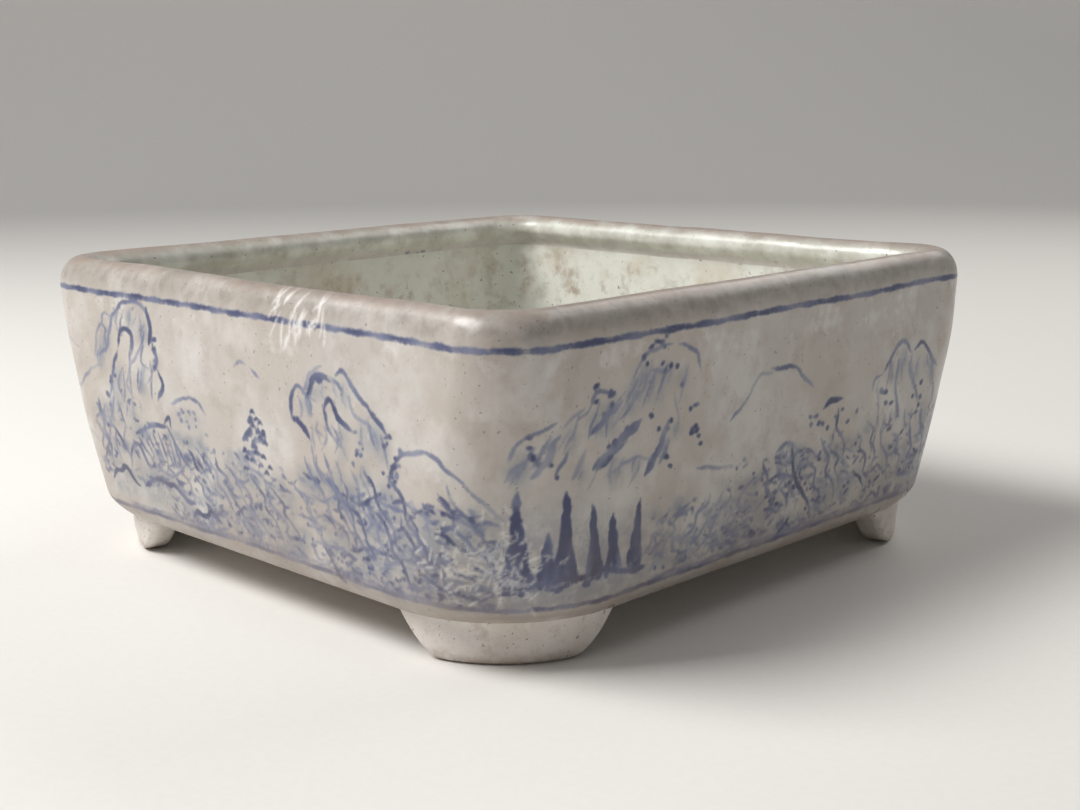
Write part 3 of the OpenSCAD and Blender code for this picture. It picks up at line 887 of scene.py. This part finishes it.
# Loops round the strip from the table up, each a rectangle with soft corners, as long as the sweep
# of the ends lets it be and as thick as the strip is at its height. inset draws the first and last
# loops in towards the strip's middle line, rounds the edge that stands on the table, and shapes the
# bead of slip on top, which is pressed a little way into the body.
quarter_turn = np.linspace(0, pi / 2, 9)[1:-1]
line, short = np.linspace(1, -1, 90), np.linspace(1, -1, 12)
one = np.ones_like
loop_x = np.concatenate([line, -one(quarter_turn), -one(short), -one(quarter_turn)])
loop_y = np.concatenate([one(line), one(quarter_turn), short, -one(quarter_turn)])
face_x = np.concatenate([0 * line, -np.sin(quarter_turn), -one(short), -np.cos(quarter_turn)])
face_y = np.concatenate([one(line), np.cos(quarter_turn), 0 * short, -np.sin(quarter_turn)])
loop_x, loop_y, face_x, face_y = (np.concatenate([v, -v]) for v in (loop_x, loop_y, face_x, face_y))
edge_turn = np.linspace(0, pi / 2, 8)
edge_round, end_round = 2.2, 2.6
level = np.concatenate([np.zeros(5), edge_round * (1 - np.cos(edge_turn)),
                        np.linspace(edge_round, under_floor, 26)[1:],
                        under_floor + np.array([0.8, 1.3, 1.6, 1.6, 1.6])])
inset = np.concatenate([np.linspace(4.4, 2.4, 5), edge_round * (1 - np.sin(edge_turn)), np.zeros(25),
                        np.array([0.2, 0.6, 1.4, 3, 5])])
share = np.minimum(level / under_floor, 1)
long = foot_table_l + (foot_floor_l - foot_table_l) * share ** 0.5
thick = foot_thick + foot_root * share
corner = np.maximum(end_round - inset, 0.1)
along = (long - inset - corner)[:, None] * loop_x + corner[:, None] * face_x
across = (thick / 2 - inset - corner).clip(0.05)[:, None] * loop_y + corner[:, None] * face_y
inwards = (foot_lean * (1 - share) + thick / 2)[:, None] - across
foot_points = foot_places(along, inwards, np.broadcast_to(level[:, None], along.shape))
foot_faces = cells(len(level), len(loop_x), loop_columns=True)
first_loop = np.arange(len(loop_x))
foot_ends = np.stack([first_loop[::-1], first_loop + (len(level) - 1) * len(loop_x)])

# side, the way it faces along X and Y, and how far out of true it was luted on, in mm
for number, (side, signs, out) in enumerate((("front_right", (1, 1), 0), ("back_right", (1, -1), 2.2),
                                             ("back_left", (-1, -1), 0.8), ("front_left", (-1, 1), 0))):
    knife = 0.35 * waves(foot_points, 26, 30 + number) * np.sin(pi * share)[:, None] + out
    points = (foot_points + knife[..., None] * (1, -1, 0)) * (*signs, 1)
    turned = slice(None, None, -1 if signs[0] * signs[1] > 0 else 1)
    make_piece("pot_foot_" + side, "foot_" + side, points, foot_faces[:, turned],
               (bare_clay,), sides=foot_ends[:, turned].tolist())


# ---- The studio ----
# A pale sweep of paper that turns up all round, a broad lamp high on the left and a weak one
# behind. The paper is matt and hardly mottled.

paper, tree, shader = new_material("matt_white_paper")
colour = coats(tree, "#e9e7e3", ("#d9d6d1", 0.12, patches(tree, 3, 0.3, 0.7)))
feed(tree, shader, {"Base Color": colour, "Roughness": 0.85})
sweep_turn = np.linspace(0, pi / 2, 24)
sweep_r = np.concatenate([[0.02, 600, 1400], 1700 + 700 * np.sin(sweep_turn)])
sweep_z = np.concatenate([[0, 0, 0], 700 * (1 - np.cos(sweep_turn))])
round_turn = np.linspace(0, 2 * pi, 97)[:-1]
sweep = np.stack([sweep_r[:, None] * np.cos(round_turn), sweep_r[:, None] * np.sin(round_turn),
                  sweep_z[:, None] + 0 * round_turn], -1)
sweep_faces = cells(len(sweep_r), len(round_turn), loop_columns=True).tolist()
new_object("paper_sweep", sweep, sweep_faces, (paper,))
lamp_aim = (0, 0, 0.05)


def lamp(name, place, size, power, colour):
    """A soft box of that size in metres and power in watts, facing the middle of the pot."""
    light = bpy.data.lights.new(name, "AREA")
    light.shape, light.size, light.size_y = "RECTANGLE", *size
    light.energy, light.color = power, colour
    holder = bpy.data.objects.new(name, light)
    holder.location = place
    holder.rotation_euler = (Vector(place) - Vector(lamp_aim)).to_track_quat("Z", "Y").to_euler()
    bpy.context.scene.collection.objects.link(holder)


lamp("key_softbox", (-0.6, -0.85, 1.25), (0.9, 0.7), 29, (1.0, 0.985, 0.965))
lamp("back_softbox", (0.1, 1.2, 1.1), (1.2, 0.6), 7, (1.0, 0.97, 0.93))
world = bpy.data.worlds.new("pale_room")
world.use_nodes = True
feed(world.node_tree, world.node_tree.nodes["Background"], {"Color": (0.82, 0.84, 0.88, 1),
                                                            "Strength": 0.16})
bpy.context.scene.world = world
bpy.context.scene.view_settings.view_transform = "Standard"

# The camera is a short telephoto a little above the rim, turned to the front right corner.
azimuth, elevation, roll = radians(44.9), radians(11.6), radians(-0.52)
back = Vector((cos(elevation) * sin(azimuth), -cos(elevation) * cos(azimuth), sin(elevation)))
level_right = Vector((cos(azimuth), sin(azimuth), 0))
upright = back.cross(level_right)
across_view = level_right * cos(roll) + upright * sin(roll)
up_view = upright * cos(roll) - level_right * sin(roll)
aim_right, aim_up, distance = 0.0106, 0.048, 0.5695
aim = level_right * aim_right + Vector((0, 0, aim_up))
camera = bpy.data.objects.new("camera", bpy.data.cameras.new("camera"))
camera.data.sensor_width, camera.data.lens = 36.0, 51.6
camera.matrix_world = Matrix.Translation(aim + back * distance) @ Matrix(
    (across_view, up_view, back)).transposed().to_4x4()
bpy.context.scene.collection.objects.link(camera)
bpy.context.scene.camera = camera
